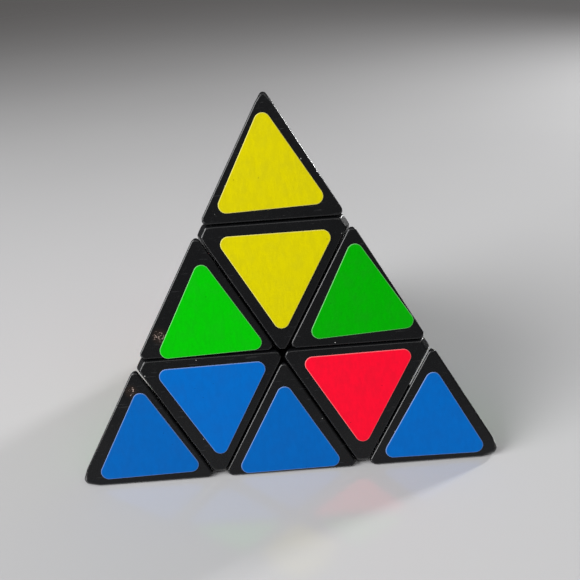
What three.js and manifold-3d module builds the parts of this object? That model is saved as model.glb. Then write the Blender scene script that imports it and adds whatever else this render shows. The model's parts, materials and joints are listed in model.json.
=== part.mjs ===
// Pyramid twisty puzzle: a regular tetrahedron cut parallel to its faces near one third and
// near two thirds of its height. Four corner layers turn about the axes through the corners,
// and the four small tips turn by themselves. Inside, four sprung screws hold the axial pieces
// to a core with four arms, and the feet of the six edge pieces are trapped under the axials.
// Millimetres, +Z up, origin where the four axes cross.

import * as THREE from "three";
import { ConvexGeometry } from "three/addons/geometries/ConvexGeometry.js";
import { mergeVertices } from "three/addons/utils/BufferGeometryUtils.js";
import Module from "manifold-3d";

// Whole puzzle
const EDGE_LENGTH = 98; // edge of the whole tetrahedron, corners taken as sharp
const CUT_SHIFT = 0.35; // how far each cut lies outside the exact third of the height
const GROOVE = 0.5; // gap between neighbouring shells
const RUNNING_GAP = 0.4; // gap between inner surfaces that slide past each other
const FIT_GAP = 0.3; // gap between pieces that are fixed together
const WALL = 1.8; // wall of every shell
const BEVEL_WIDTH = 0.6; // bevel along the edges of every shell
const TIP_BLUNTING = 2.2; // cut off the outer corner of each tip
const CORNER_FLAT_DEPTH = 1.5; // cut off the axials' corners on the puzzle's own edges

// Core and screws
const CORE_RADIUS = 8.5;
const ARM_RADIUS = 3.5;
const SCREW_RADIUS = 1.3;
const SCREW_DEPTH = 7.5; // how far the screw reaches into its arm
const SCREW_HEAD_RADIUS = 3;
const SCREW_HEAD_HEIGHT = 1.9;
const DRIVE_SLOT_WIDTH = 0.9;
const DRIVE_SLOT_LENGTH = 3.4;
const DRIVE_SLOT_DEPTH = 1;
const WASHER_RADIUS = 3.5;
const WASHER_THICKNESS = 0.6;
const STACK_GAP = 0.1; // left between stacked metal pieces
const SPRING_RADIUS = 2.55; // to the middle of the wire
const WIRE_RADIUS = 0.35;
const SPRING_PITCH = 1.6;

// Feet that hold the layers together
const NECK_THICKNESS = 2.6; // tongue that joins an edge's foot to its shell
const NECK_LENGTH = 14;
const BARB_REACH = 0.7; // how far a snap barb stands out
const BARB_HEIGHT = 1.3;
const TONGUE_ABOVE_BARB = 1.2;
const TUBE_RADIUS = 5.9; // tube of the axial's foot
const TUBE_BORE_RADIUS = 4.1;
const SEAT_THICKNESS = 1.5; // shelf that the spring presses on
const SEAT_ABOVE_FOOT = 1.5; // from the foot's outer sphere to the shelf's underside

// Tip stem
const STEM_RADIUS = 3.6;
const STEM_BORE_RADIUS = 2;
const STEM_SLOT = 1.2; // slots that split the stem into snap fingers
const HOOK_REACH = 0.8;
const HOOK_HEIGHT = 1.6;
const STEM_PLATE_THICKNESS = 2;

// Facets
const ROUND_STEPS = 24; // around turned pieces
const MIDDLE_STEPS = 16; // around washers, arms, stems and hollows
const SMALL_STEPS = 12; // around screws and holes in the core
const FOOT_ARC_STEPS = 5; // across the hollow ball of an edge's foot
const COIL_STEPS = 8; // along one turn of a spring
const WIRE_SIDES = 5;

// A regular tetrahedron's own proportions
const HEIGHT = EDGE_LENGTH * Math.sqrt(2 / 3);
const FACE_DISTANCE = HEIGHT / 4;
const CORNER_DISTANCE = (HEIGHT * 3) / 4;
const LAYER_CUT = HEIGHT / 12 + CUT_SHIFT; // centre to the cut under a corner layer
const TIP_CUT = (HEIGHT * 5) / 12 + CUT_SHIFT; // centre to the cut under a tip
const AXIS_ANGLE = Math.acos(-1 / 3); // between two corner axes
const HALF_AXIS_ANGLE = AXIS_ANGLE / 2;
const LAYER_CONE = Math.PI - AXIS_ANGLE; // inner boundary of a turning layer
const PLUG_CONE = AXIS_ANGLE - LAYER_CONE; // room left for an axial's foot between layers

// Places that follow from the sizes above
const LAYER_SIDE = LAYER_CUT + GROOVE / 2; // shell plane on the layer's side of its cut
const REST_SIDE = LAYER_CUT - GROOVE / 2; // shell plane on the other side
const FOOT_INNER_RADIUS = CORE_RADIUS + RUNNING_GAP;
const FOOT_OUTER_RADIUS =
  LAYER_SIDE / Math.cos(HALF_AXIS_ANGLE) +
  (NECK_THICKNESS / 2) * Math.tan(HALF_AXIS_ANGLE);
const SHELL_INNER_RADIUS = FOOT_OUTER_RADIUS + RUNNING_GAP;
const SEAT_BOTTOM = FOOT_OUTER_RADIUS + SEAT_ABOVE_FOOT;
const SEAT_TOP = SEAT_BOTTOM + SEAT_THICKNESS;
const AXIAL_TOP = TIP_CUT - GROOVE / 2;
const TIP_BOTTOM = TIP_CUT + GROOVE / 2;
const HOOK_TOP = AXIAL_TOP - WALL - FIT_GAP;
const HOOK_BOTTOM = HOOK_TOP - HOOK_HEIGHT;
const TUBE_TOP = HOOK_BOTTOM - RUNNING_GAP;
const HEAD_TOP = TUBE_TOP - FIT_GAP;
const HEAD_BOTTOM = HEAD_TOP - SCREW_HEAD_HEIGHT;
const WASHER_TOP = HEAD_BOTTOM - STACK_GAP;
const WASHER_BOTTOM = WASHER_TOP - WASHER_THICKNESS;
const ARM_TOP = SEAT_BOTTOM - RUNNING_GAP;
const SCREW_END = ARM_TOP - SCREW_DEPTH;

const wasm = await Module();
wasm.setup();

// Directions of the four corners, and the names of the layers they belong to
function cornerDirection(azimuthDegrees) {
  const azimuth = THREE.MathUtils.degToRad(azimuthDegrees);
  return new THREE.Vector3(
    Math.sin(AXIS_ANGLE) * Math.cos(azimuth),
    Math.sin(AXIS_ANGLE) * Math.sin(azimuth),
    Math.cos(AXIS_ANGLE),
  );
}
const CORNERS = {
  top: new THREE.Vector3(0, 0, 1),
  left: cornerDirection(210),
  right: cornerDirection(330),
  back: cornerDirection(90),
};
const EDGES = [
  ["top", "left"],
  ["top", "right"],
  ["top", "back"],
  ["left", "right"],
  ["left", "back"],
  ["right", "back"],
];

// In a corner's own frame +Z is its axis, and the other three corners lie around it.
const SELF = new THREE.Vector3(0, 0, 1);
const OTHERS = [90, 210, 330].map(cornerDirection);

// In an edge's own frame +Z runs out through the middle of the puzzle's edge, its two layers'
// axes lean to -X and +X, and the two corners it doesn't touch lie towards -Y and +Y.
const EDGE_AXES = [-1, 1].map(
  (side) =>
    new THREE.Vector3(
      side * Math.sin(HALF_AXIS_ANGLE),
      0,
      Math.cos(HALF_AXIS_ANGLE),
    ),
);
const FAR_AXES = [-1, 1].map(
  (side) =>
    new THREE.Vector3(
      0,
      side * Math.sin(HALF_AXIS_ANGLE),
      -Math.cos(HALF_AXIS_ANGLE),
    ),
);

// Half-spaces: "below" keeps what lies within a distance along a direction, "above" the rest.
const below = (direction, distance) => ({ normal: direction, distance });
const above = (direction, distance) => ({
  normal: direction.clone().negate(),
  distance: -distance,
});

// The corners of the convex body that a list of half-spaces encloses
function cornersOf(planes) {
  const found = [];
  const cross = (a, b) => new THREE.Vector3().crossVectors(a, b);
  planes.forEach((a, i) =>
    planes.slice(i + 1).forEach((b, j) =>
      planes.slice(i + j + 2).forEach((c) => {
        const bc = cross(b.normal, c.normal);
        const volume = a.normal.dot(bc);
        if (Math.abs(volume) < 1e-6) return;
        const point = bc
          .multiplyScalar(a.distance)
          .addScaledVector(cross(c.normal, a.normal), b.distance)
          .addScaledVector(cross(a.normal, b.normal), c.distance)
          .divideScalar(volume);
        const inside = planes.every(
          (p) => p.normal.dot(point) < p.distance + 1e-6,
        );
        const isNew = found.every((other) => other.distanceTo(point) > 1e-3);
        if (inside && isNew) found.push(point);
      }),
    ),
  );
  return found;
}

// The same half-spaces with one more for each edge between two of them
function bevelled(planes, width) {
  const corners = cornersOf(planes);
  const isOn = (plane, corner) =>
    Math.abs(plane.normal.dot(corner) - plane.distance) < 1e-4;
  const bevels = [];
  planes.forEach((a, i) =>
    planes.slice(i + 1).forEach((b) => {
      const shared = corners.filter((c) => isOn(a, c) && isOn(b, c));
      if (shared.length < 2) return;
      const depth = (width / 2) * Math.tan(a.normal.angleTo(b.normal) / 2);
      const normal = a.normal.clone().add(b.normal).normalize();
      bevels.push({ normal, distance: normal.dot(shared[0]) - depth });
    }),
  );
  return [...planes, ...bevels];
}

// A closed geometry as a solid that can be joined and cut
function solidOf(geometry) {
  const bare = new THREE.BufferGeometry();
  bare.setAttribute("position", geometry.getAttribute("position"));
  bare.setIndex(geometry.index);
  const merged = mergeVertices(bare, 1e-4);
  const index = merged.index.array;
  const kept = [];
  for (let i = 0; i < index.length; i += 3) {
    const [a, b, c] = index.slice(i, i + 3);
    if (a !== b && b !== c && c !== a) kept.push(a, b, c);
  }
  return new wasm.Manifold(
    new wasm.Mesh({
      numProp: 3,
      vertProperties: merged.attributes.position.array,
      triVerts: new Uint32Array(kept),
    }),
  );
}

const convexSolid = (planes) => solidOf(new ConvexGeometry(cornersOf(planes)));

// A body turned about +Z from its outline, given as [radius, height] pairs
function turnedSolid(outline, steps = ROUND_STEPS) {
  const points = outline.map(([r, z]) => new THREE.Vector2(r, z));
  return solidOf(new THREE.LatheGeometry(points, steps).rotateX(Math.PI / 2));
}

const roundBar = (radius, from, to, steps) =>
  turnedSolid(
    [
      [0, from],
      [radius, from],
      [radius, to],
      [0, to],
    ],
    steps,
  );

const ball = (radius, steps = ROUND_STEPS) =>
  solidOf(new THREE.SphereGeometry(radius, steps, steps / 2));

function box(width, length, from, to) {
  const geometry = new THREE.BoxGeometry(width, length, to - from);
  return solidOf(geometry.translate(0, 0, (from + to) / 2));
}

// Points of an arc about the centre, between two angles from the axis
function arc(radius, fromAngle, toAngle, steps) {
  return Array.from({ length: steps + 1 }, (_, i) => {
    const angle = fromAngle + ((toAngle - fromAngle) * i) / steps;
    return [radius * Math.sin(angle), radius * Math.cos(angle)];
  });
}

// Angle at which a cone, drawn in by half the running gap, meets a sphere
const coneAngle = (cone, radius) =>
  cone - Math.asin(RUNNING_GAP / 2 / radius);

// A solid turned so that its +Z and +X point along two directions
function facing(solid, zAxis, xAxis) {
  const yAxis = new THREE.Vector3().crossVectors(zAxis, xAxis);
  const turn = new THREE.Matrix4().makeBasis(xAxis, yAxis, zAxis);
  return solid.transform(turn.elements);
}

// A group whose +Z is one direction, with another direction in its +X half-plane
function frameOn(zAxis, towards) {
  const xAxis = towards.clone().projectOnPlane(zAxis).normalize();
  const yAxis = new THREE.Vector3().crossVectors(zAxis, xAxis);
  const group = new THREE.Group();
  const turn = new THREE.Matrix4().makeBasis(xAxis, yAxis, zAxis);
  group.quaternion.setFromRotationMatrix(turn);
  return group;
}

const plastic = (color, roughness) =>
  new THREE.MeshStandardMaterial({ color, roughness, metalness: 0 });
const steel = (color, roughness) =>
  new THREE.MeshStandardMaterial({ color, roughness, metalness: 1 });
const FINISHES = {
  shell: () => plastic(0x17181a, 0.35),
  innerPlastic: () => plastic(0x232427, 0.5),
  core: () => plastic(0xd9d8d2, 0.5),
  screw: () => steel(0xb9bcc0, 0.3),
  spring: () => steel(0xa4a7ab, 0.35),
};

function namedMesh(name, solid, finish) {
  const { vertProperties, triVerts, numProp } = solid.getMesh();
  const geometry = new THREE.BufferGeometry();
  geometry.setAttribute(
    "position",
    new THREE.BufferAttribute(vertProperties, numProp),
  );
  geometry.setIndex(new THREE.BufferAttribute(triVerts, 1));
  geometry.computeVertexNormals();
  const mesh = new THREE.Mesh(geometry, FINISHES[finish]());
  mesh.name = name;
  return mesh;
}

// Core: a ball with four arms, each bored for its screw
function coreSpider() {
  const alongCorner = (solid, corner) => {
    const across = new THREE.Vector3(1, 0, 0).projectOnPlane(corner);
    return facing(solid, corner, across.normalize());
  };
  const arm = roundBar(ARM_RADIUS, 0, ARM_TOP, MIDDLE_STEPS);
  const boreRadius = SCREW_RADIUS + FIT_GAP;
  const boreEnd = SCREW_END - FIT_GAP;
  const bore = roundBar(boreRadius, boreEnd, ARM_TOP + 1, SMALL_STEPS);
  const corners = Object.values(CORNERS);
  const joined = corners.reduce(
    (core, corner) => core.add(alongCorner(arm, corner)),
    ball(CORE_RADIUS),
  );
  return corners.reduce(
    (core, corner) => core.subtract(alongCorner(bore, corner)),
    joined,
  );
}

// Screw with a domed pan head and a cross slot
function screw() {
  const dome = 0.35 * SCREW_HEAD_HEIGHT;
  const body = turnedSolid(
    [
      [0, SCREW_END],
      [SCREW_RADIUS * 0.4, SCREW_END],
      [SCREW_RADIUS, SCREW_END + SCREW_RADIUS * 1.2],
      [SCREW_RADIUS, HEAD_BOTTOM],
      [SCREW_HEAD_RADIUS, HEAD_BOTTOM],
      [SCREW_HEAD_RADIUS, HEAD_TOP - dome],
      [SCREW_HEAD_RADIUS * 0.75, HEAD_TOP],
      [0, HEAD_TOP],
    ],
    SMALL_STEPS,
  );
  const slotFloor = HEAD_TOP - DRIVE_SLOT_DEPTH;
  const slotTop = HEAD_TOP + 1;
  return body
    .subtract(box(DRIVE_SLOT_WIDTH, DRIVE_SLOT_LENGTH, slotFloor, slotTop))
    .subtract(box(DRIVE_SLOT_LENGTH, DRIVE_SLOT_WIDTH, slotFloor, slotTop));
}

function washer() {
  const hole = SCREW_RADIUS + FIT_GAP;
  return turnedSolid(
    [
      [hole, WASHER_BOTTOM],
      [WASHER_RADIUS, WASHER_BOTTOM],
      [WASHER_RADIUS, WASHER_TOP],
      [hole, WASHER_TOP],
      [hole, WASHER_BOTTOM],
    ],
    MIDDLE_STEPS,
  );
}

// Coil spring between the seat in the axial's foot and the washer
class Coil extends THREE.Curve {
  constructor(from, to, turns) {
    super();
    Object.assign(this, { from, to, turns });
  }
  getPoint(t, target = new THREE.Vector3()) {
    const angle = t * this.turns * 2 * Math.PI;
    return target.set(
      SPRING_RADIUS * Math.cos(angle),
      SPRING_RADIUS * Math.sin(angle),
      THREE.MathUtils.lerp(this.from, this.to, t),
    );
  }
}

function spring() {
  const from = SEAT_TOP + STACK_GAP + WIRE_RADIUS;
  const to = WASHER_BOTTOM - STACK_GAP - WIRE_RADIUS;
  const turns = Math.max(2, Math.round((to - from) / SPRING_PITCH));
  const section = new THREE.Shape();
  for (let i = 0; i < WIRE_SIDES; i++) {
    const angle = (i / WIRE_SIDES) * 2 * Math.PI;
    const x = WIRE_RADIUS * Math.cos(angle);
    const y = WIRE_RADIUS * Math.sin(angle);
    if (i) section.lineTo(x, y);
    else section.moveTo(x, y);
  }
  return solidOf(
    new THREE.ExtrudeGeometry(section, {
      steps: turns * COIL_STEPS,
      extrudePath: new Coil(from, to, turns),
    }),
  );
}

// Outer shape of an axial piece: an octahedron that lies under its tip
const axialPlanes = (wall) => [
  below(SELF, AXIAL_TOP - wall),
  above(SELF, LAYER_SIDE + wall),
  ...OTHERS.map((other) => above(other, wall - FACE_DISTANCE)),
  ...OTHERS.map((other) => below(other, REST_SIDE - wall)),
];

function axialShell() {
  const middle = SELF.clone().multiplyScalar((TIP_CUT + LAYER_CUT) / 2);
  const cornerFlats = OTHERS.map((other) => {
    const corner = SELF.clone()
      .multiplyScalar(CORNER_DISTANCE)
      .lerp(other.clone().multiplyScalar(CORNER_DISTANCE), 1 / 3);
    const normal = corner.clone().sub(middle).normalize();
    return below(normal, normal.dot(corner) - CORNER_FLAT_DEPTH);
  });
  const outer = convexSolid([
    ...bevelled(axialPlanes(0), BEVEL_WIDTH),
    ...cornerFlats,
  ]);
  const hollow = convexSolid(axialPlanes(WALL)).subtract(
    ball(SHELL_INNER_RADIUS + WALL, MIDDLE_STEPS),
  );
  const tipHole = roundBar(
    STEM_RADIUS + RUNNING_GAP,
    AXIAL_TOP - 2 * WALL,
    TIP_CUT,
    MIDDLE_STEPS,
  );
  const footHole = roundBar(TUBE_RADIUS + FIT_GAP, 0, SEAT_TOP, ROUND_STEPS);
  return outer
    .subtract(ball(SHELL_INNER_RADIUS))
    .subtract(hollow)
    .subtract(tipHole)
    .subtract(footHole);
}

// Foot of an axial: a conical plug that rides on the core, with a tube that clips into the
// shell's round floor and holds the spring
function axialFoot() {
  const armHole = ARM_RADIUS + RUNNING_GAP;
  const screwHole = SCREW_RADIUS + RUNNING_GAP;
  const tubeAngle = Math.asin(TUBE_RADIUS / FOOT_OUTER_RADIUS);
  const floorRadius = SHELL_INNER_RADIUS + WALL;
  const barbBottom =
    Math.sqrt(floorRadius ** 2 - (TUBE_RADIUS + FIT_GAP) ** 2) + FIT_GAP;
  return turnedSolid([
    ...arc(
      FOOT_INNER_RADIUS,
      Math.asin(armHole / FOOT_INNER_RADIUS),
      coneAngle(PLUG_CONE, FOOT_INNER_RADIUS),
      2,
    ),
    ...arc(
      FOOT_OUTER_RADIUS,
      coneAngle(PLUG_CONE, FOOT_OUTER_RADIUS),
      tubeAngle,
      2,
    ),
    [TUBE_RADIUS, barbBottom],
    [TUBE_RADIUS + BARB_REACH, barbBottom],
    [TUBE_RADIUS, barbBottom + BARB_HEIGHT],
    [TUBE_RADIUS, TUBE_TOP],
    [TUBE_BORE_RADIUS, TUBE_TOP],
    [TUBE_BORE_RADIUS, SEAT_TOP],
    [screwHole, SEAT_TOP],
    [screwHole, SEAT_BOTTOM],
    [armHole, SEAT_BOTTOM],
    [armHole, Math.sqrt(FOOT_INNER_RADIUS ** 2 - armHole ** 2)],
  ]);
}

// Tip: a hollow corner, open underneath
function tipShell() {
  const outer = convexSolid([
    ...bevelled(
      [
        above(SELF, TIP_BOTTOM),
        ...OTHERS.map((other) => above(other, -FACE_DISTANCE)),
      ],
      BEVEL_WIDTH,
    ),
    below(SELF, CORNER_DISTANCE - TIP_BLUNTING),
  ]);
  const hollow = convexSolid([
    above(SELF, TIP_BOTTOM - 1),
    ...OTHERS.map((other) => above(other, WALL - FACE_DISTANCE)),
  ]);
  return outer.subtract(hollow);
}

// Stem: a plate that closes the tip, with four snap fingers that reach through the axial's top
function tipStem() {
  const plateTop = TIP_BOTTOM + STEM_PLATE_THICKNESS;
  const plate = convexSolid([
    above(SELF, TIP_BOTTOM),
    below(SELF, plateTop),
    ...OTHERS.map((other) => above(other, WALL + FIT_GAP - FACE_DISTANCE)),
  ]);
  const fingers = turnedSolid(
    [
      [STEM_BORE_RADIUS, HOOK_BOTTOM],
      [STEM_RADIUS, HOOK_BOTTOM],
      [STEM_RADIUS + HOOK_REACH, HOOK_TOP - HOOK_HEIGHT / 3],
      [STEM_RADIUS + HOOK_REACH, HOOK_TOP],
      [STEM_RADIUS, HOOK_TOP],
      [STEM_RADIUS, plateTop],
      [STEM_BORE_RADIUS, plateTop],
      [STEM_BORE_RADIUS, HOOK_BOTTOM],
    ],
    MIDDLE_STEPS,
  );
  const slotLength = 2 * (STEM_RADIUS + HOOK_REACH + 1);
  const slotBottom = HOOK_BOTTOM - 1;
  return plate
    .add(fingers)
    .subtract(box(STEM_SLOT, slotLength, slotBottom, TIP_BOTTOM - FIT_GAP))
    .subtract(box(slotLength, STEM_SLOT, slotBottom, TIP_BOTTOM - FIT_GAP));
}

// Half-spaces of an edge piece: between its two layers' cuts and the puzzle's two faces
const edgePlanes = (wall) => [
  ...EDGE_AXES.map((axis) => above(axis, LAYER_SIDE + wall)),
  ...FAR_AXES.map((axis) => above(axis, wall - FACE_DISTANCE)),
];

// Height at which the inside of an edge's shell is as wide as a given width
const heightWhereInsideIs = (width) =>
  (LAYER_SIDE + WALL) / Math.cos(HALF_AXIS_ANGLE) +
  (width / 2) * Math.tan(HALF_AXIS_ANGLE);

function edgeShell() {
  const slotWidth = NECK_THICKNESS + 2 * FIT_GAP;
  const slotLength = NECK_LENGTH + 2 * FIT_GAP;
  const slot = box(slotWidth, slotLength, 0, heightWhereInsideIs(slotWidth));
  return convexSolid(bevelled(edgePlanes(0), BEVEL_WIDTH))
    .subtract(ball(SHELL_INNER_RADIUS))
    .subtract(convexSolid(edgePlanes(WALL)))
    .subtract(slot);
}

// Foot of an edge: a lens of a hollow ball that lies inside both its layers' cones, and a
// barbed tongue that snaps into the shell
function edgeFoot() {
  const sector = turnedSolid([
    ...arc(
      FOOT_INNER_RADIUS,
      0,
      coneAngle(LAYER_CONE, FOOT_INNER_RADIUS),
      FOOT_ARC_STEPS,
    ),
    ...arc(
      FOOT_OUTER_RADIUS,
      coneAngle(LAYER_CONE, FOOT_OUTER_RADIUS),
      0,
      FOOT_ARC_STEPS,
    ),
  ]);
  const across = new THREE.Vector3(0, 1, 0);
  const [oneSide, otherSide] = EDGE_AXES.map((axis) =>
    facing(sector, axis, across),
  );
  const barbWidth = NECK_THICKNESS + 2 * BARB_REACH;
  const barbBottom = heightWhereInsideIs(barbWidth + 2 * FIT_GAP);
  const barbTop = barbBottom + BARB_HEIGHT;
  const tongueSides = (length) => [
    below(new THREE.Vector3(0, 1, 0), length / 2),
    below(new THREE.Vector3(0, -1, 0), length / 2),
    ...FAR_AXES.map((axis) => above(axis, WALL + FIT_GAP - FACE_DISTANCE)),
  ];
  const tongue = convexSolid([
    ...EDGE_AXES.map((axis) => above(axis, LAYER_SIDE)),
    below(new THREE.Vector3(1, 0, 0), NECK_THICKNESS / 2),
    below(new THREE.Vector3(-1, 0, 0), NECK_THICKNESS / 2),
    below(SELF, barbTop + TONGUE_ABOVE_BARB),
    ...tongueSides(NECK_LENGTH),
  ]);
  const slope = Math.atan2(BARB_REACH, BARB_HEIGHT);
  const barb = convexSolid([
    above(SELF, barbBottom),
    below(SELF, barbTop),
    ...[-1, 1].map((side) => {
      const leaning = new THREE.Vector3(
        side * Math.cos(slope),
        0,
        Math.sin(slope),
      );
      const foot = new THREE.Vector3((side * barbWidth) / 2, 0, barbBottom);
      return below(leaning, leaning.dot(foot));
    }),
    ...tongueSides(NECK_LENGTH * 0.6),
  ]);
  return oneSide.intersect(otherSide).add(tongue).add(barb);
}

const puzzle = new THREE.Group();
puzzle.add(namedMesh("core_spider", coreSpider(), "core"));

for (const [name, direction] of Object.entries(CORNERS)) {
  const towards = CORNERS[name === "back" ? "top" : "back"];
  const corner = frameOn(direction, towards);
  corner.rotateZ(-Math.PI / 2);
  corner.add(
    namedMesh(name + "_screw", screw(), "screw"),
    namedMesh(name + "_washer", washer(), "screw"),
    namedMesh(name + "_spring", spring(), "spring"),
    namedMesh(name + "_axial_foot", axialFoot(), "innerPlastic"),
    namedMesh(name + "_axial_shell", axialShell(), "shell"),
    namedMesh(name + "_tip_stem", tipStem(), "innerPlastic"),
    namedMesh(name + "_tip_shell", tipShell(), "shell"),
  );
  puzzle.add(corner);
}

for (const [first, second] of EDGES) {
  const outwards = CORNERS[first].clone().add(CORNERS[second]).normalize();
  const edge = frameOn(outwards, CORNERS[second]);
  const name = first + "_" + second;
  edge.add(
    namedMesh(name + "_edge_foot", edgeFoot(), "innerPlastic"),
    namedMesh(name + "_edge_shell", edgeShell(), "shell"),
  );
  puzzle.add(edge);
}

export default puzzle;
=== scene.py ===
# Pyramid twisty puzzle: black moulded shells on a sprung core, with a vinyl sticker on each of
# the nine facets of its four faces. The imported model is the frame, in metres, and the looks
# are built around it piece by piece, from the core outwards.
import json
import math

import bmesh
import bpy
from mathutils import Matrix, Vector, noise

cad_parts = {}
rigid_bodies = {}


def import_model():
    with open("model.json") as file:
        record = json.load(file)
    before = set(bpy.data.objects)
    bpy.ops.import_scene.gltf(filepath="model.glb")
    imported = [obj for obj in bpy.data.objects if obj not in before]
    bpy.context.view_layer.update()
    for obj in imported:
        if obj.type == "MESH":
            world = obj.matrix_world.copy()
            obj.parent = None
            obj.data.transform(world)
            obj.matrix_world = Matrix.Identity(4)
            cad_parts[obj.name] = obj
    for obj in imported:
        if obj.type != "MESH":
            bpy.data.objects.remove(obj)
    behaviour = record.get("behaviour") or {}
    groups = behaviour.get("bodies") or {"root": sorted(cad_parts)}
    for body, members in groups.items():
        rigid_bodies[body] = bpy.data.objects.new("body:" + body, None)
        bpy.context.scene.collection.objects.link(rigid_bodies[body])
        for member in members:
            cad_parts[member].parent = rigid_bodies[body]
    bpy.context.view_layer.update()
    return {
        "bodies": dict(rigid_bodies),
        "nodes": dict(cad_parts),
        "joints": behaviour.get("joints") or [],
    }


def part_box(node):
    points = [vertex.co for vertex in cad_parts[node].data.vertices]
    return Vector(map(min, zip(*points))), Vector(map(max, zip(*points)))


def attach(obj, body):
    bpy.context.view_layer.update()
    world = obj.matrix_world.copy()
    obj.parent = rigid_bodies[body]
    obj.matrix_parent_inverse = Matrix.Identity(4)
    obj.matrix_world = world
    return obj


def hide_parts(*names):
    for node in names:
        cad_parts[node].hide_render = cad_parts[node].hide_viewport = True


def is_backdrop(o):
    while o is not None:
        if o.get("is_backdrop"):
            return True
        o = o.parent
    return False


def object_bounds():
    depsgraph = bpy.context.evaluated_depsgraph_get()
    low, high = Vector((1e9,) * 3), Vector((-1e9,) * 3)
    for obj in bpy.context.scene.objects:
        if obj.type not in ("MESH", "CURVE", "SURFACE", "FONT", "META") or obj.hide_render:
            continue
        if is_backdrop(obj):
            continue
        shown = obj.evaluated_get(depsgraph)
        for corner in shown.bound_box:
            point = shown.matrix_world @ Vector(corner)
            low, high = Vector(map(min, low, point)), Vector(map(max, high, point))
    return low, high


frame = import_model()

# ---------------------------------------------------------------------------------------
# The core: a ball with four arms, moulded in natural white nylon. It is the middle of the
# puzzle, and its arms point at the four corners, along the axes that the layers turn about.

MM = 0.001
CORNERS = ("top", "left", "right", "back")
axis_of = {}
for joint in frame["joints"]:
    if joint["name"].endswith("_layer_turn"):
        axis_of[joint["child"].removesuffix("_axial")] = Vector(joint["axis"]).normalized()


class Value:
    """A value in a material, such as a mask or a height, that sums can be done with."""

    def __init__(self, finish, socket):
        self.finish = finish
        self.socket = socket

    def sum_with(self, operation, *inputs):
        return self.finish.node("ShaderNodeMath", {"operation": operation}, dict(enumerate(inputs)))

    def __add__(self, other):
        return self.sum_with("ADD", self, other)

    def __sub__(self, other):
        return self.sum_with("SUBTRACT", self, other)

    def __rsub__(self, other):
        return self.sum_with("SUBTRACT", other, self)

    def __mul__(self, other):
        return self.sum_with("MULTIPLY", self, other)

    __radd__ = __add__
    __rmul__ = __mul__


class Finish:
    """One material: a Principled shader, and the nodes that vary what it is fed."""

    def __init__(self, name, **constants):
        self.material = bpy.data.materials.new(name)
        self.material.use_nodes = True
        self.nodes = self.material.node_tree.nodes
        self.links = self.material.node_tree.links
        self.shader = self.nodes["Principled BSDF"]
        self.feed(self.shader, constants)
        where = self.node("ShaderNodeTexCoord", {}, {}, "Object")
        self.place = self.node(
            "ShaderNodeVectorMath", {"operation": "SCALE"}, {0: where, "Scale": 1 / MM}
        )

    def feed(self, node, inputs):
        for key, given in inputs.items():
            socket = node.inputs[key.replace("_", " ") if isinstance(key, str) else key]
            if isinstance(given, Value):
                self.links.new(given.socket, socket)
            else:
                socket.default_value = given

    def node(self, kind, settings, inputs, output=0):
        made = self.nodes.new(kind)
        for key, setting in settings.items():
            if key == "stops":
                ramp = made.color_ramp
                while len(ramp.elements) < len(setting):
                    ramp.elements.new(1)
                for element, (position, color) in zip(ramp.elements, setting):
                    element.position = position
                    element.color = color
            else:
                setattr(made, key, setting)
        self.feed(made, inputs)
        return Value(self, made.outputs[output])

    def grain(self, size, detail=4, rough=0.5, stretch=(1, 1, 1), lean=0.0, seed=0.0):
        """Cloudy noise with lumps of a size in millimetres, from 0 to 1"""
        turned = self.node(
            "ShaderNodeMapping",
            {"vector_type": "POINT"},
            {
                "Vector": self.place,
                "Location": (seed, 2.3 * seed, 0),
                "Rotation": (0, lean, 0),
                "Scale": stretch,
            },
        )
        return self.node(
            "ShaderNodeTexNoise",
            {},
            {"Vector": turned, "Scale": 1 / size, "Detail": detail, "Roughness": rough},
        )

    def dots(self, apart, radius, share, seed=0.0):
        """Small round dots, one in a share of the cells that are this far apart"""
        moved = self.node(
            "ShaderNodeVectorMath", {"operation": "ADD"}, {0: self.place, 1: (seed, seed, seed)}
        )
        cells = {"Vector": moved, "Scale": 1 / apart}
        off = self.node("ShaderNodeTexVoronoi", {}, cells)
        tint = self.node("ShaderNodeTexVoronoi", {}, cells, "Color")
        chosen = self.node("ShaderNodeSeparateColor", {}, {"Color": tint}, "Red")
        return self.band(off, radius / apart, 0.6 * radius / apart) * self.band(
            chosen, 1 - share, 1.001 - share
        )

    def near(self, spot, radius):
        """1 at a spot, falling to 0 at this radius from it"""
        gap = self.node(
            "ShaderNodeVectorMath", {"operation": "DISTANCE"}, {0: self.place, 1: spot}, "Value"
        )
        return self.band(gap, radius, 0.3 * radius)

    def band(self, value, low, high):
        """0 below low, 1 above high, and a smooth rise between"""
        return self.node(
            "ShaderNodeMapRange",
            {"interpolation_type": "SMOOTHSTEP"},
            {"Value": value, "From Min": low, "From Max": high},
        )

    def blend(self, mask, first, second):
        """The first color where the mask is 0 and the second where it is 1"""
        return self.node(
            "ShaderNodeMix",
            {"data_type": "RGBA"},
            {0: mask, 6: first, 7: second},
            2,
        )

    def drawn(self, name):
        """What a mesh stores under a name at its points"""
        return self.node("ShaderNodeAttribute", {"attribute_name": name}, {}, "Fac")

    def relief(self, height, depth, strength=1.0):
        """Bumps in millimetres"""
        bump = self.node(
            "ShaderNodeBump",
            {},
            {"Height": height, "Distance": depth * MM, "Strength": strength},
        )
        self.show(Normal=bump)

    def show(self, **inputs):
        self.feed(self.shader, inputs)


def paint(piece, *finishes):
    piece.data.materials.clear()
    for finish in finishes:
        piece.data.materials.append(finish.material)


def nylon_finish():
    nylon = Finish("white_nylon", Roughness=0.45, IOR=1.53)
    cloud = nylon.grain(3.0)
    nylon.show(Base_Color=nylon.blend(cloud, (0.74, 0.73, 0.69, 1), (0.66, 0.65, 0.6, 1)))
    nylon.relief(nylon.grain(0.35, detail=2), 0.02)
    return nylon


paint(frame["nodes"]["core_spider"], nylon_finish())

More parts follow.
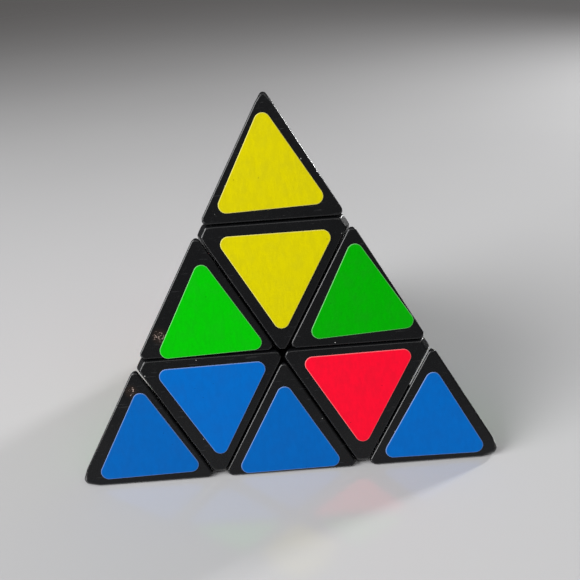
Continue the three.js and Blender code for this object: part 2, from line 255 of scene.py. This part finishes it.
# ---------------------------------------------------------------------------------------
# Screws, washers and springs: a zinc-plated screw goes through each axial piece into an arm
# of the core, and a spring of drawn wire under its washer presses the axial inwards.


def zinc_finish():
    zinc = Finish("zinc_plated_steel", Metallic=1.0)
    stain = zinc.grain(1.2)
    zinc.show(
        Base_Color=zinc.blend(stain, (0.6, 0.61, 0.62, 1), (0.46, 0.47, 0.47, 1)),
        Roughness=0.24 + 0.2 * stain,
    )
    zinc.relief(zinc.grain(0.25, detail=2), 0.01)
    return zinc


def wire_finish():
    wire = Finish("spring_wire", Metallic=1.0)
    oil = wire.grain(0.8)
    wire.show(
        Base_Color=wire.blend(oil, (0.45, 0.45, 0.46, 1), (0.3, 0.29, 0.27, 1)),
        Roughness=0.3 + 0.15 * oil,
    )
    wire.relief(wire.grain(0.15, detail=1), 0.005)
    return wire


zinc = zinc_finish()
wire = wire_finish()
for corner in CORNERS:
    paint(frame["nodes"][f"{corner}_screw"], zinc)
    paint(frame["nodes"][f"{corner}_washer"], zinc)
    paint(frame["nodes"][f"{corner}_spring"], wire)

# ---------------------------------------------------------------------------------------
# Feet and stems: black plastic left satin where it runs. They clip into the shells, and hold
# the layers to the core and the tips to the axials.

EDGES = [name.removesuffix("_edge") for name in frame["bodies"] if name.endswith("_edge")]


def inner_finish():
    inner = Finish("black_inner_plastic", IOR=1.5)
    polish = inner.grain(4.0)
    inner.show(
        Base_Color=inner.blend(polish, (0.016, 0.016, 0.018, 1), (0.024, 0.024, 0.025, 1)),
        Roughness=0.38 + 0.2 * polish,
    )
    inner.relief(inner.grain(0.2, detail=2), 0.01)
    return inner


inner_plastic = inner_finish()
for corner in CORNERS:
    paint(frame["nodes"][f"{corner}_axial_foot"], inner_plastic)
    paint(frame["nodes"][f"{corner}_tip_stem"], inner_plastic)
for pair in EDGES:
    paint(frame["nodes"][f"{pair}_edge_foot"], inner_plastic)

# ---------------------------------------------------------------------------------------
# Shells: hollow black ABS mouldings with softly rounded edges, four tips, four axials and six
# edges. Each one is the space between its cuts and the puzzle's faces, so that all of them
# follow from four distances along the axes.

SNUG = 0.1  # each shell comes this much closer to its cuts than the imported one
face_distance = -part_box("left_right_edge_shell")[0].z / MM
layer_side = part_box("top_axial_shell")[0].z / MM - SNUG
axial_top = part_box("top_axial_shell")[1].z / MM + SNUG
tip_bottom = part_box("top_tip_shell")[0].z / MM - SNUG
groove = tip_bottom - axial_top
rest_side = layer_side - groove
layer_cut = layer_side - groove / 2
tip_cut = tip_bottom - groove / 2
corner_distance = 3 * face_distance
tip_blunting = corner_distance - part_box("top_tip_shell")[1].z / MM

WALL = 1.8
FIT = 0.3  # room round a foot's tube or neck in its shell
RUNNING = 0.4  # room between parts that turn past each other
CORNER_FLAT = 1.5  # depth of the flats where the axials come out on the puzzle's edges
ROUNDING = 0.42
CORNER_ROUNDING = 0.75
CORNER_REACH = 1.1  # where the corners' rounding ends along the edges
ROUNDING_STEPS = 5
POINT_WEAR = {"top": 0.7, "left": 1.05, "right": 1.15, "back": 1.0}
STEM_RADIUS = 3.6
TUBE_RADIUS = 5.9
NECK_WIDTH = 2.6
NECK_LENGTH = 14
half_angle = math.acos(-1 / 3) / 2
foot_radius = (layer_side + SNUG) / math.cos(half_angle) + NECK_WIDTH / 2 * math.tan(half_angle)
floor_radius = foot_radius + RUNNING


def below(direction, distance):
    return (direction, distance)


def above(direction, distance):
    return (-direction, -distance)


NEARLY_ZERO = 1e-5  # three planes whose normals span less than this don't make a corner
OUTSIDE = 1e-4  # millimetres past a plane that count as outside it
SAME_PLACE = 1e-3  # millimetres apart that count as one place


def corners_of(planes):
    """Each corner of the convex body inside the planes, with the planes that meet there"""
    found = []
    for i, (a, da) in enumerate(planes):
        for j, (b, db) in enumerate(planes[i + 1 :], i + 1):
            for c, dc in planes[j + 1 :]:
                volume = a.dot(b.cross(c))
                if abs(volume) < NEARLY_ZERO:
                    continue
                point = (da * b.cross(c) + db * c.cross(a) + dc * a.cross(b)) / volume
                if any(n.dot(point) > d + OUTSIDE for n, d in planes):
                    continue
                if any((point - other).length < SAME_PLACE for other, _ in found):
                    continue
                touching = [n for n, d in planes if abs(n.dot(point) - d) < SAME_PLACE]
                found.append((point, touching))
    return found


def hull_of(name, points):
    """The smallest convex body round the points, its flat parts joined to single faces"""
    mesh = bmesh.new()
    kept = []
    for p in points:
        if all((p - q).length > 2 * SAME_PLACE for q in kept):
            kept.append(p)
            mesh.verts.new(p)
    made = bmesh.ops.convex_hull(mesh, input=mesh.verts)
    spare = made["geom_interior"] + made["geom_unused"]
    inside = {e for e in spare if isinstance(e, bmesh.types.BMVert)}
    bmesh.ops.delete(mesh, geom=list(inside), context="VERTS")
    bmesh.ops.dissolve_limit(
        mesh, angle_limit=math.radians(0.3), verts=mesh.verts, edges=mesh.edges
    )
    bmesh.ops.recalc_face_normals(mesh, faces=mesh.faces)
    return piece_from(name, mesh)


def piece_from(name, mesh):
    data = bpy.data.meshes.new(name)
    mesh.to_mesh(data)
    mesh.free()
    piece = bpy.data.objects.new(name, data)
    bpy.context.scene.collection.objects.link(piece)
    return piece


def sharp_body(planes):
    return hull_of("cutter", [point for point, _ in corners_of(planes)])


def ring_of(normals):
    """The normals in turn round a corner, and their middle"""
    middle = sum(normals, Vector()).normalized()
    across = middle.orthogonal().normalized()
    along = middle.cross(across)
    return sorted(normals, key=lambda n: math.atan2(n.dot(along), n.dot(across))), middle


def ball_patch(centre, normals, radius):
    """Points of the part of a ball that lies between the planes with these normals"""
    ring, middle = ring_of(normals)
    points = []
    for a, b in zip(ring, ring[1:] + ring[:1]):
        for i in range(ROUNDING_STEPS + 1):
            for j in range(ROUNDING_STEPS + 1 - i):
                way = a * i + b * j + middle * (ROUNDING_STEPS - i - j)
                points.append(centre + radius * way.normalized())
    return points


def rounded_body(name, planes, more_points=()):
    """The convex body inside the planes, its edges rounded, and its corners a little more"""
    points = list(more_points)
    inset = [(n, d - ROUNDING) for n, d in planes]
    for corner, normals in corners_of(inset):
        ring, _ = ring_of(normals)
        for a, b in zip(ring, ring[1:] + ring[:1]):
            inwards = a.cross(b).normalized()
            if any(n.dot(inwards) > OUTSIDE for n in normals):
                inwards.negate()
            start = corner + CORNER_REACH * inwards
            if any(n.dot(start) > d + OUTSIDE for n, d in inset):
                start = corner
            for step in range(ROUNDING_STEPS + 1):
                way = a.lerp(b, step / ROUNDING_STEPS)
                points.append(start + ROUNDING * way.normalized())
    for corner, normals in corners_of([(n, d - CORNER_ROUNDING) for n, d in planes]):
        points += ball_patch(corner, normals, CORNER_ROUNDING)
    return hull_of(name, points)


def ball(radius):
    mesh = bmesh.new()
    bmesh.ops.create_uvsphere(mesh, u_segments=64, v_segments=32, radius=radius)
    return piece_from("cutter", mesh)


def rod(axis, radius, low, high):
    mesh = bmesh.new()
    bmesh.ops.create_cone(
        mesh, cap_ends=True, segments=48, radius1=radius, radius2=radius, depth=high - low
    )
    turn = axis.to_track_quat("Z", "Y").to_matrix().to_4x4()
    place = turn @ Matrix.Translation((0, 0, (low + high) / 2))
    bmesh.ops.transform(mesh, matrix=place, verts=mesh.verts)
    return piece_from("cutter", mesh)


def cut(piece, *tools):
    """Takes the tools' shapes out of the piece, and uses the tools up"""
    for tool in tools:
        change = piece.modifiers.new("cut", "BOOLEAN")
        change.operation = "DIFFERENCE"
        change.solver = "EXACT"
        change.object = tool
    graph = bpy.context.evaluated_depsgraph_get()
    made = bpy.data.meshes.new_from_object(piece.evaluated_get(graph))
    piece.modifiers.clear()
    piece.data = made
    for tool in tools:
        bpy.data.objects.remove(tool)
    return piece


SHARP_EDGE = math.radians(32)  # steeper edges than this are shaded sharp


def finish_shell(piece, planes, finish):
    """Scales the shell to metres, marks its worn edges and smooths its shading"""
    mesh = piece.data
    mesh.name = piece.name
    deepest = ROUNDING * (1 / math.sin(half_angle) - 1)
    worn = mesh.attributes.new("worn", "FLOAT", "POINT")
    for vertex in mesh.vertices:
        depth = min(d - n.dot(vertex.co) for n, d in planes)
        on_skin = depth < WALL / 2
        worn.data[vertex.index].value = min(1, depth / deepest) if on_skin else 0
    mesh.transform(Matrix.Scale(MM, 4))
    mesh.shade_smooth()
    mesh.set_sharp_from_angle(angle=SHARP_EDGE)
    evener = piece.modifiers.new("even_normals", "WEIGHTED_NORMAL")
    evener.keep_sharp = True
    evener.weight = 100
    paint(piece, finish)
    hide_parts(piece.name + "_shell")
    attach(piece, piece.name)


def ridge_point(first, second, share):
    """The point that far along the puzzle's edge from one corner to another"""
    return corner_distance * axis_of[first].lerp(axis_of[second], share)


def shell_finish():
    """Black ABS: satin, rubbed shiny along the edges, with scratches, dust and a few knocks"""
    abs_plastic = Finish("black_shell_plastic", IOR=1.5, Specular_IOR_Level=0.4)
    worn = abs_plastic.drawn("worn")
    cloud = abs_plastic.grain(6.0, detail=5)
    scuff = abs_plastic.band(abs_plastic.grain(0.7, detail=8, rough=0.7), 0.52, 0.7)
    scratch = abs_plastic.band(
        abs_plastic.grain(0.5, detail=3, stretch=(0.12, 1.6, 1.2), seed=4.0), 0.66, 0.72
    )
    dust = abs_plastic.dots(2.4, 0.15, 0.45, seed=9.0)
    rubbed = abs_plastic.band(worn * (0.35 + scuff), 0.45, 1.2)
    chip_grain = abs_plastic.grain(0.55, detail=6, rough=0.75, seed=2.0)
    knocked = 0
    for spot, radius in KNOCKS:
        knocked = abs_plastic.near(spot, radius) + knocked
    chip = abs_plastic.band(chip_grain + 0.1 * knocked, 0.66, 0.7) * knocked
    chip = chip + abs_plastic.band(chip_grain * worn, 0.64, 0.7)
    shade = abs_plastic.blend(cloud, (0.0038, 0.0041, 0.0048, 1), (0.0065, 0.0068, 0.0076, 1))
    shade = abs_plastic.blend(rubbed * 0.18, shade, (0.075, 0.078, 0.082, 1))
    shade = abs_plastic.blend(scratch * 0.25, shade, (0.06, 0.062, 0.065, 1))
    shade = abs_plastic.blend(knocked * chip_grain, shade, (0.03, 0.017, 0.011, 1))
    shade = abs_plastic.blend(chip * 0.85, shade, (0.55, 0.42, 0.37, 1))
    shade = abs_plastic.blend(dust * 0.8, shade, (0.5, 0.5, 0.48, 1))
    abs_plastic.show(
        Base_Color=shade,
        Roughness=0.2 + 0.08 * cloud + 0.14 * scuff - 0.04 * worn + 0.25 * chip,
    )
    fine = abs_plastic.grain(0.18, detail=2)
    abs_plastic.relief(fine * 0.35 + scuff * 0.3 - scratch * 0.8, 0.012)
    return abs_plastic


# Where the shells have been knocked: the place and its radius in millimetres
tip_share = (tip_cut + face_distance) / (corner_distance + face_distance)
KNOCKS = (
    (ridge_point("left", "top", 0.93 - tip_share) + Vector((2.2, 0, 0)), 1.9),
    (ridge_point("left", "top", 0.4) + Vector((3.1, 0, 0)), 2.4),
    (ridge_point("left", "back", 0.3), 1.8),
    (ridge_point("right", "back", 0.69), 2.2),
    (ridge_point("back", "top", 0.36), 2.0),
)

shell_plastic = shell_finish()

for corner in CORNERS:
    axis = axis_of[corner]
    others = [axis_of[name] for name in CORNERS if name != corner]
    faces = [above(other, -face_distance) for other in others]

    # The tip is open underneath, where its stem's plate closes it. Its point is blunt, with
    # softer edges than the rest, and more or less worn.
    blunting = tip_blunting * POINT_WEAR[corner]
    soft = 0.45 * blunting
    point = []
    for place, normals in corners_of(
        [(n, d - soft) for n, d in (below(axis, corner_distance - blunting), *faces)]
    ):
        point += ball_patch(place, normals, soft)
    planes = [above(axis, tip_bottom), *faces]
    planes.append(below(axis, corner_distance - blunting - soft))
    tip = rounded_body(f"{corner}_tip", planes, point)
    planes.pop()
    hollow = [above(axis, tip_bottom - 1)]
    hollow += [above(other, WALL - face_distance) for other in others]
    cut(tip, sharp_body(hollow))
    finish_shell(tip, planes, shell_plastic)

    # The axial has a hole for the tip's stem and one for its own foot, and small flats where
    # it comes out on the puzzle's edges.
    planes = [below(axis, axial_top), above(axis, layer_side), *faces]
    planes += [below(other, rest_side) for other in others]
    middle = axis * (tip_cut + layer_cut) / 2
    for other in others:
        outermost = corner_distance * (axis * 2 + other) / 3
        way = (outermost - middle).normalized()
        planes.append(below(way, way.dot(outermost) - CORNER_FLAT))
    axial = rounded_body(f"{corner}_axial", planes)
    hollow = [below(axis, axial_top - WALL), above(axis, layer_side + WALL)]
    hollow += [above(other, WALL - face_distance) for other in others]
    hollow += [below(other, rest_side - WALL) for other in others]
    cut(
        axial,
        ball(floor_radius),
        cut(sharp_body(hollow), ball(floor_radius + WALL)),
        rod(axis, STEM_RADIUS + RUNNING, axial_top - 2 * WALL, tip_cut),
        rod(axis, TUBE_RADIUS + FIT, 0, floor_radius + 2 * WALL),
    )
    finish_shell(axial, planes, shell_plastic)

for pair in EDGES:
    near = [axis_of[name] for name in pair.split("_")]
    far = [axis_of[name] for name in CORNERS if name not in pair.split("_")]
    planes = [above(n, layer_side) for n in near] + [above(n, -face_distance) for n in far]
    edge = rounded_body(f"{pair}_edge", planes)
    hollow = [above(n, layer_side + WALL) for n in near]
    hollow += [above(n, WALL - face_distance) for n in far]
    outwards = (near[0] + near[1]).normalized()
    along = (far[0] - far[1]).normalized()
    across = outwards.cross(along)
    slot_reach = (layer_side + WALL) / math.cos(half_angle) + NECK_WIDTH
    slot = [above(outwards, 0), below(outwards, slot_reach)]
    for way, size in ((across, NECK_WIDTH), (along, NECK_LENGTH)):
        slot += [below(way, size / 2 + FIT), above(way, -size / 2 - FIT)]
    cut(edge, ball(floor_radius), sharp_body(hollow), sharp_body(slot))
    finish_shell(edge, planes, shell_plastic)

# ---------------------------------------------------------------------------------------
# Stickers: one size of satin vinyl triangle, die-cut with round corners and stuck on by hand,
# so that each one sits a little off the middle of its facet. Their colors are those of a
# puzzle that was mixed from one plain color per face.

# Side between the sharp corners that the round ones are drawn in, for each kind of piece
STICKER_SIDE = {"tip": 24.75, "axial": 26.05, "edge": 24.95}
STICKER_CORNER = 1.75
STICKER_THICKNESS = 0.16
STICKER_RIM = 0.12  # radius of the rounded upper edge
STICKER_GLUE = 0.01  # how far the underside stands off the shell
PALE_REACH = 0.05  # how far the pale cut edge shows past the rounding
FACE_NAMES = {"back": "front", "top": "bottom", "left": "right_side", "right": "left_side"}
PLAIN = {"back": "green", "top": "blue", "left": "red", "right": "yellow"}
MIXING = (("top", 1), ("left", -1), ("back", -1), ("right", 1), ("left", -1))
TIP_TURNS = (("right", 1), ("back", -1))
# The front stickers: millimetres right and up, degrees to the left, and a scale on the color that
# is painted light and shade, brighter on some stickers and darker on others
LAID = {
    "top_tip": (-0.2, 0.55, 1.6, 0.98),
    "top_axial": (0.3, -0.1, 0.0, 1.0),
    "top_left_edge": (0.85, -1.5, 1.5, 1.14),
    "top_right_edge": (1.0, 0.6, 2.7, 0.86),
    "left_tip": (0.8, -0.35, 0.9, 0.94),
    "left_axial": (0.6, 0.25, 0.6, 1.09),
    "left_right_edge": (-0.2, -1.35, 0.4, 0.97),
    "right_axial": (0.15, 0.6, 0.6, 1.0),
    "right_tip": (-0.15, -0.6, -0.7, 1.07),
}
VINYL = {
    "yellow": (0.7, 0.62, 0.0),
    "green": (0.0, 0.48, 0.0),
    "blue": (0.0, 0.13, 0.5),
    "red": (1.0, 0.004, 0.03),
}


def vinyl_finish(color_name):
    """Satin vinyl: fine streaks and smudges from handling, and a pale cut edge"""
    red, green, blue = VINYL[color_name]
    vinyl = Finish(f"{color_name}_vinyl", IOR=1.46, Specular_IOR_Level=0.12)
    rim = vinyl.drawn("cut_edge")
    smudge = vinyl.band(vinyl.grain(4.0, detail=6, rough=0.62, seed=3.0), 0.44, 0.66)
    streak = vinyl.band(
        vinyl.grain(1.1, detail=5, rough=0.65, stretch=(1, 1, 0.3), lean=-0.5, seed=7.0), 0.36, 0.66
    )
    dot = vinyl.dots(2.6, 0.16, 0.5, seed=12.0)
    shade = vinyl.blend(
        streak, (red, green, blue, 1), (red * 0.93, green * 0.93, blue * 0.94, 1)
    )
    shade = vinyl.blend(smudge * 0.26, shade, (red * 0.78, green * 0.8, blue * 0.84, 1))
    shade = vinyl.blend(dot * 0.6, shade, (red * 0.3, green * 0.3, blue * 0.4, 1))
    # Each sticker's color is scaled: painted light and shade on the front stickers, a random tone
    # on the others
    shade = vinyl.node(
        "ShaderNodeVectorMath",
        {"operation": "SCALE"},
        {0: shade, "Scale": vinyl.drawn("color_strength")},
    )
    pale = (0.2 + red * 0.75, 0.2 + green * 0.75, 0.2 + blue * 0.75, 1)
    shade = vinyl.blend(rim, shade, pale)
    vinyl.show(Base_Color=shade, Roughness=0.34 + 0.14 * smudge + 0.08 * streak)
    vinyl.relief(vinyl.grain(0.5, detail=3) * 0.5 + streak * 0.5, 0.02)
    return vinyl


vinyl_of = {color_name: vinyl_finish(color_name) for color_name in VINYL}


def facets_of(face):
    """Each piece's facet on one face: its middle and the way its odd corner points"""
    shown = [name for name in CORNERS if name != face]
    tip_point = {name: axis_of[name] * corner_distance for name in shown}
    centre = sum(tip_point.values(), Vector()) / 3
    layer_share = (layer_cut + face_distance) / (corner_distance + face_distance)

    def at(share, name):
        """The point on the line from the face's middle to a corner with that share of it"""
        return centre + (tip_point[name] - centre) * (share * 3 - 1) / 2

    for name in shown:
        outwards = (tip_point[name] - centre).normalized()
        yield f"{name}_tip", at((1 + 2 * tip_share) / 3, name), outwards
        yield f"{name}_axial", at((1 - 2 * layer_share + 2 * tip_share) / 3, name), -outwards
    for pair in EDGES:
        if face not in pair.split("_"):
            third = next(name for name in shown if name not in pair.split("_"))
            yield f"{pair}_edge", at((1 - 2 * layer_share) / 3, third), (
                tip_point[third] - centre
            ).normalized()


def lay_sticker(name, side, middle, right, up, outwards, strength, finish):
    """A round-cornered triangle, its point up, with a rounded upper rim"""
    mesh = bmesh.new()
    turn = Matrix((right, up, outwards)).transposed()
    reach = side / math.sqrt(3)

    def ring(inset, height):
        radius = STICKER_CORNER - inset
        points = []
        for i in range(3):
            heading = math.radians(90 + 120 * i)
            way = Vector((math.cos(heading), math.sin(heading), 0))
            centre = way * (reach - 2 * STICKER_CORNER)
            for step in range(13):
                angle = heading + math.radians(-60 + 10 * step)
                edge = Vector((math.cos(angle), math.sin(angle), 0)) * radius
                flat = centre + edge + Vector((0, 0, height))
                points.append(mesh.verts.new(middle + turn @ flat))
        return points

    rings = [ring(0, STICKER_GLUE), ring(0, STICKER_THICKNESS - STICKER_RIM)]
    for step in (1, 2, 3):
        angle = math.radians(30 * step)
        rings.append(
            ring(
                STICKER_RIM * (1 - math.cos(angle)),
                STICKER_THICKNESS - STICKER_RIM * (1 - math.sin(angle)),
            )
        )
    rings.append(ring(STICKER_RIM + PALE_REACH, STICKER_THICKNESS))
    for lower, upper in zip(rings, rings[1:]):
        for i in range(len(lower)):
            j = (i + 1) % len(lower)
            mesh.faces.new((lower[i], lower[j], upper[j], upper[i]))
    mesh.faces.new(rings[-1])
    mesh.faces.new(list(reversed(rings[0])))
    per_ring = len(rings[0])
    sticker = piece_from(name, mesh)
    data = sticker.data
    cut_edge = data.attributes.new("cut_edge", "FLOAT", "POINT")
    for vertex in data.vertices:
        cut_edge.data[vertex.index].value = (1, 1, 0.9, 0.7, 0.5, 0)[vertex.index // per_ring]
    # The color scale: painted light and shade on the front stickers, a random tone elsewhere
    sticker_light_and_tone = data.attributes.new("color_strength", "FLOAT", "POINT")
    for vertex in data.vertices:
        sticker_light_and_tone.data[vertex.index].value = strength
    data.transform(Matrix.Scale(MM, 4))
    data.shade_smooth()
    data.set_sharp_from_angle(angle=math.radians(50))
    paint(sticker, finish)
    return sticker


places = {}
for face in CORNERS:
    for piece_name, middle, odd_way in facets_of(face):
        places[(face, piece_name)] = (middle, odd_way)

# Each sticker starts on its own face and goes where the turns take it.
color_at = {}
for (face, piece_name), (middle, _) in places.items():
    spot = middle.copy()
    for turns, cut_distance in ((MIXING, layer_cut), (TIP_TURNS, tip_cut)):
        for corner, direction in turns:
            if spot.dot(axis_of[corner]) > cut_distance:
                spot.rotate(Matrix.Rotation(direction * math.radians(120), 3, axis_of[corner]))
    landed = min(places, key=lambda place: (places[place][0] - spot).length)
    color_at[landed] = PLAIN[face]

for (face, piece_name), (middle, odd_way) in places.items():
    outwards = -axis_of[face]
    if face == "back" and piece_name in LAID:
        # The front stickers' color scale is painted light and shade
        shift_right, shift_up, lean, strength = LAID[piece_name]
    else:
        unevenness = noise.cell_vector(middle * 1.7)
        shift_right, shift_up, lean = (0.8 * (unevenness - Vector((0.5, 0.5, 0.5)))).to_tuple()
        lean *= 4
        # The other stickers' color scale is a random tone
        strength = 1 + 0.25 * (unevenness.x - 0.5)
    right = odd_way.cross(outwards)
    sticker_up = odd_way
    level = axis_of["back" if face == "top" else "top"]
    face_up = (level - outwards * level.dot(outwards)).normalized()
    middle = middle + face_up.cross(outwards) * shift_right + face_up * shift_up
    spin = Matrix.Rotation(math.radians(lean), 3, outwards)
    color_name = color_at[(face, piece_name)]
    sticker = lay_sticker(
        f"{piece_name}_{FACE_NAMES[face]}_sticker",
        STICKER_SIDE[piece_name.rpartition("_")[2]],
        middle,
        spin @ right,
        spin @ sticker_up,
        outwards,
        strength,
        vinyl_of[color_name],
    )
    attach(sticker, piece_name)

# ---------------------------------------------------------------------------------------
# The table: a pale glossy top that the puzzle stands on.

shown_low, shown_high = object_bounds()
mesh = bmesh.new()
bmesh.ops.create_grid(mesh, x_segments=8, y_segments=8, size=3.0)
bmesh.ops.translate(mesh, verts=mesh.verts, vec=(0, 0, shown_low.z))
table = piece_from("table", mesh)
lacquer = Finish("pale_lacquer", IOR=1.85)
cloud = lacquer.grain(180.0, detail=3)
lacquer.show(
    Base_Color=lacquer.blend(cloud, (0.56, 0.56, 0.565, 1), (0.51, 0.51, 0.52, 1)),
    Roughness=0.1 + 0.04 * cloud,
)
paint(table, lacquer)
table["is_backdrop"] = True

# ---------------------------------------------------------------------------------------
# Studio: a large soft light from the left, a wide weaker one above in front, a narrow strip
# behind on the right that draws the rounded edges, and grey surroundings. The camera looks
# down on the front face.


LIGHTS_AIM = Vector((0, 0, 0.015))


def soft_light(name, power, size, place):
    lamp = bpy.data.lights.new(name, "AREA")
    lamp.energy = power
    lamp.shape = "RECTANGLE"
    lamp.size, lamp.size_y = size
    holder = bpy.data.objects.new(name, lamp)
    holder.location = place
    holder.rotation_euler = (Vector(place) - LIGHTS_AIM).to_track_quat("Z", "Y").to_euler()
    bpy.context.scene.collection.objects.link(holder)


soft_light("key_light", 8.3, (0.45, 0.6), (-0.61, -0.23, 0.36))
soft_light("front_light", 3.3, (1.4, 0.5), (0.1, -0.5, 0.85))
soft_light("right_strip", 2.6, (0.02, 0.11), (0.48, 0.31, 0.246))

world = bpy.data.worlds.new("studio")
bpy.context.scene.world = world
world.use_nodes = True
world.node_tree.nodes["Background"].inputs["Color"].default_value = (0.5, 0.48, 0.47, 1)
world.node_tree.nodes["Background"].inputs["Strength"].default_value = 0.22
bpy.context.scene.view_settings.view_transform = "Standard"

CAMERA_DISTANCE = 0.15
CAMERA_AIM = Vector((0.002685, 0, 0.0114))
CAMERA_TURN, CAMERA_RISE, CAMERA_ROLL = (math.radians(a) for a in (-0.3, 30.2, -4.15))
back = Vector(
    (
        math.sin(CAMERA_TURN) * math.cos(CAMERA_RISE),
        -math.cos(CAMERA_TURN) * math.cos(CAMERA_RISE),
        math.sin(CAMERA_RISE),
    )
)
lens = bpy.data.cameras.new("camera")
lens.sensor_width = 36
lens.lens = 38.5
lens.clip_start = 0.01
camera = bpy.data.objects.new("camera", lens)
camera.rotation_mode = "QUATERNION"
camera.rotation_quaternion = back.to_track_quat("Z", "Y") @ Matrix.Rotation(
    CAMERA_ROLL, 3, "Z"
).to_quaternion()
camera.location = CAMERA_AIM + back * CAMERA_DISTANCE
bpy.context.scene.collection.objects.link(camera)
bpy.context.scene.camera = camera

shown_low, shown_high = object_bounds()
